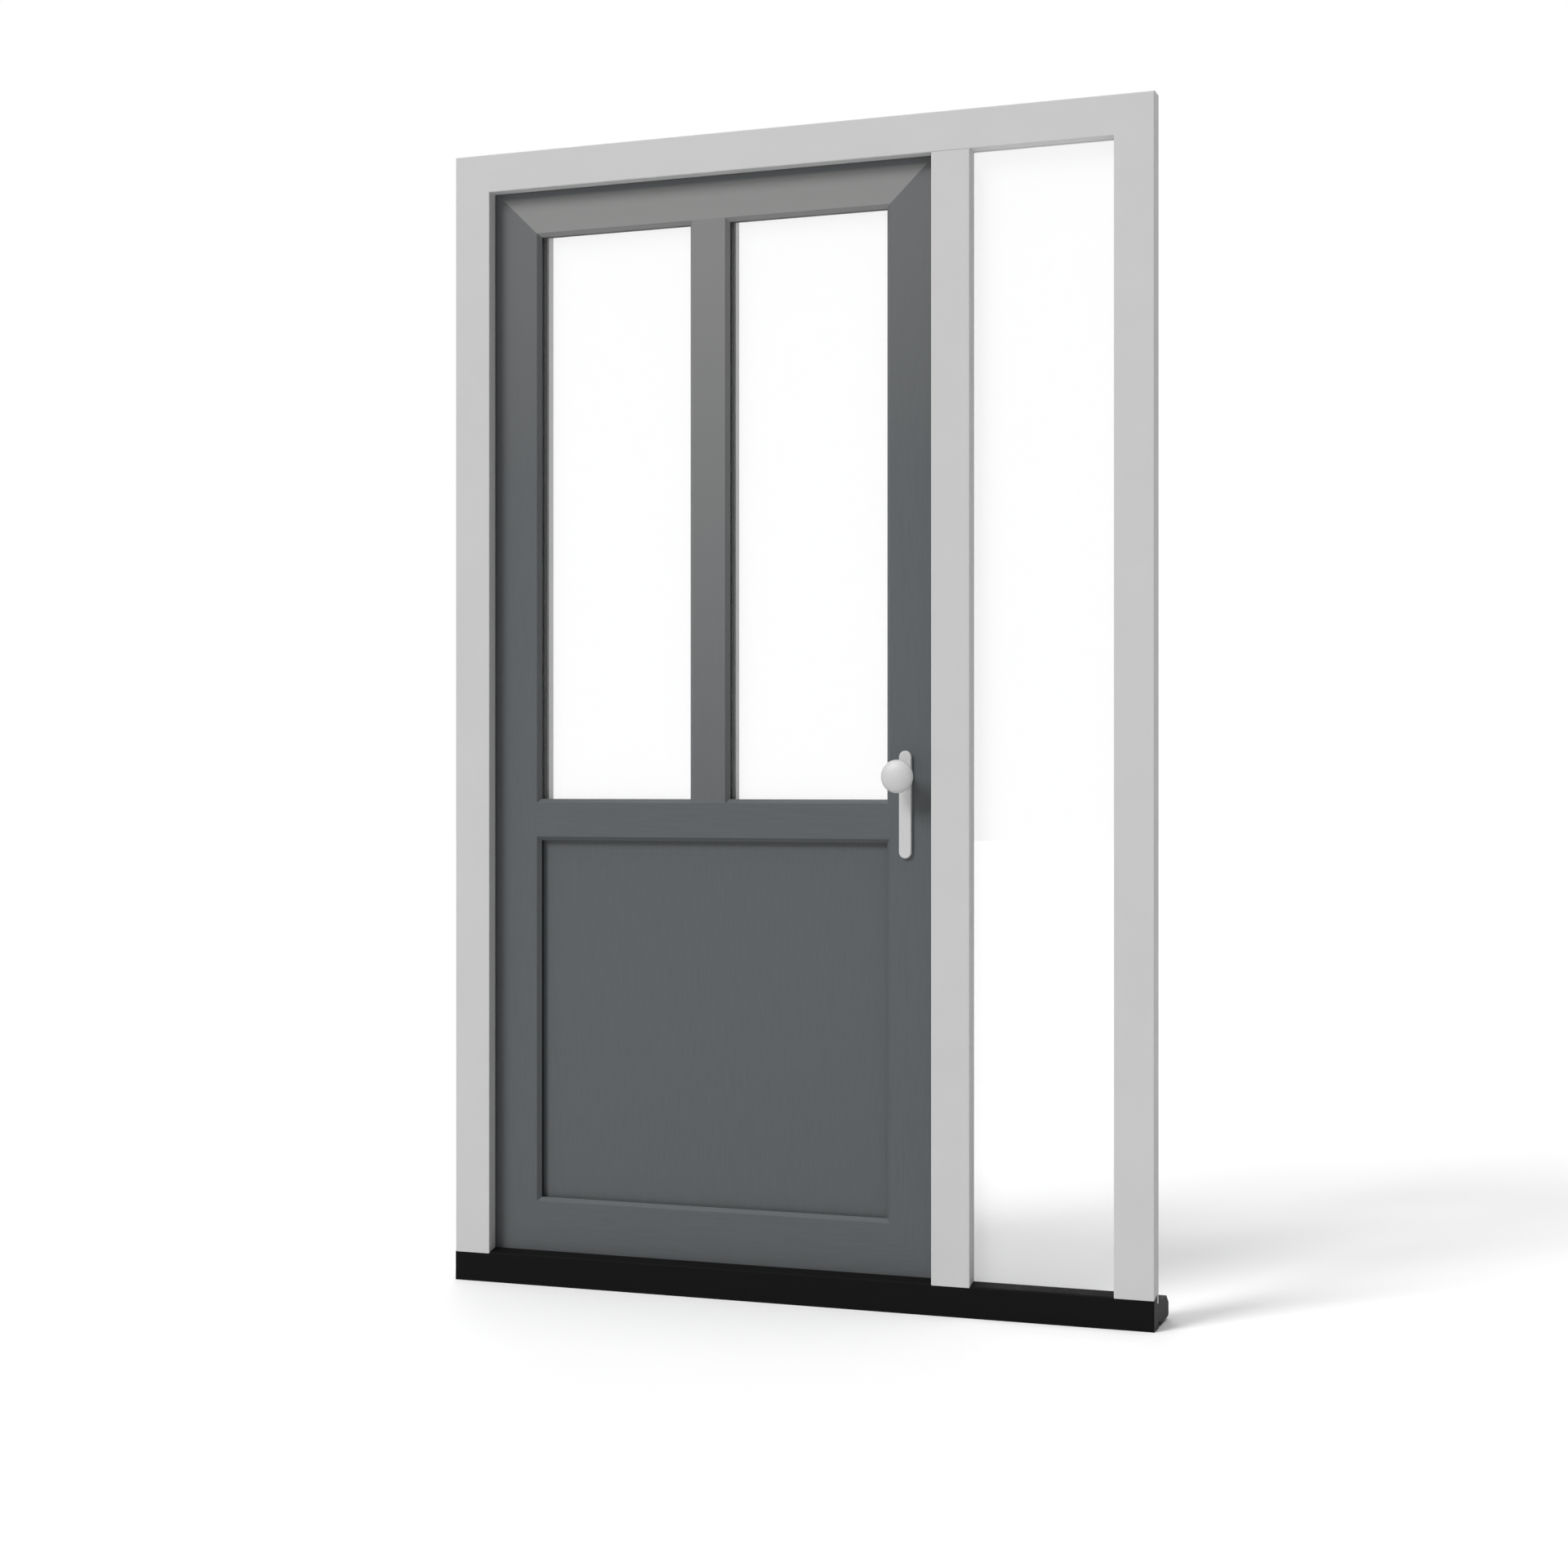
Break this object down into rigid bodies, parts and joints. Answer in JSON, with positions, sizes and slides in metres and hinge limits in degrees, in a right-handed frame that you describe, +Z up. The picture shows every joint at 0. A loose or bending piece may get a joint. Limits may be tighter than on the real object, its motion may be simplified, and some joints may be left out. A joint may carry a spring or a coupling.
{
  "type": "upvc front door with sidelight",
  "caption": "Light frame on a black threshold with an inward-opening dark leaf, two panes over a panel, a knob, and a narrow fixed sidelight.",
  "frame": {"origin": "underside of the threshold, mid width, in the middle of its front foot", "axes": "+X along the width towards the sidelight, +Y from outside to inside, +Z up"},
  "size_m": [1.51, 0.231, 2.4],
  "materials": {
    "frame_light": "smooth light grey upvc",
    "leaf_dark": "fine-grained basalt grey upvc",
    "bead_light": "smooth light grey upvc beads",
    "threshold_black": "matt black composite",
    "clear_glass": "clear float glass",
    "spacer_black": "black warm-edge spacer",
    "spacer_light": "pale spacer",
    "seal_black": "black rubber",
    "handle_metal": "satin anodised",
    "steel": "brushed stainless"
  },
  "bodies": {
    "frame": {"threshold": "threshold_black", "head": "frame_light", "left_jamb": "frame_light", "right_jamb": "frame_light", "mullion": "frame_light", "lock_keeps": "steel", "sidelight_outer_pane": "clear_glass", "sidelight_spacer": "spacer_light", "sidelight_inner_pane": "clear_glass", "sidelight_seal": "seal_black", "sidelight_beads": "frame_light", "bottom_hinge_frame_half": "handle_metal", "middle_hinge_frame_half": "handle_metal", "top_hinge_frame_half": "handle_metal"},
    "leaf": {"bottom_hinge_leaf_half": "handle_metal", "bottom_rail": "leaf_dark", "dead_bolt": "steel", "hinge_stile": "leaf_dark", "inner_backplate": "handle_metal", "inner_knob": "handle_metal", "latch_bolt": "steel", "leaf_seals": "seal_black", "left_inner_pane": "clear_glass", "left_outer_pane": "clear_glass", "left_pane_beads": "bead_light", "left_spacer": "spacer_black", "lock_cylinder": "steel", "lock_stile": "leaf_dark", "lock_strip": "steel", "lower_panel": "leaf_dark", "mid_rail": "leaf_dark", "middle_bar": "leaf_dark", "middle_hinge_leaf_half": "handle_metal", "outer_backplate": "handle_metal", "outer_knob": "handle_metal", "panel_beads": "bead_light", "right_inner_pane": "clear_glass", "right_outer_pane": "clear_glass", "right_pane_beads": "bead_light", "right_spacer": "spacer_black", "top_hinge_leaf_half": "handle_metal", "top_rail": "leaf_dark"}
  },
  "joints": [
    {"name": "door_hinge", "type": "hinge", "parent": "frame", "child": "leaf", "pos_m": [-0.689, 0.115, 0.3], "axis": [0, 0, 1], "range_deg": [0, 100]}
  ]
}
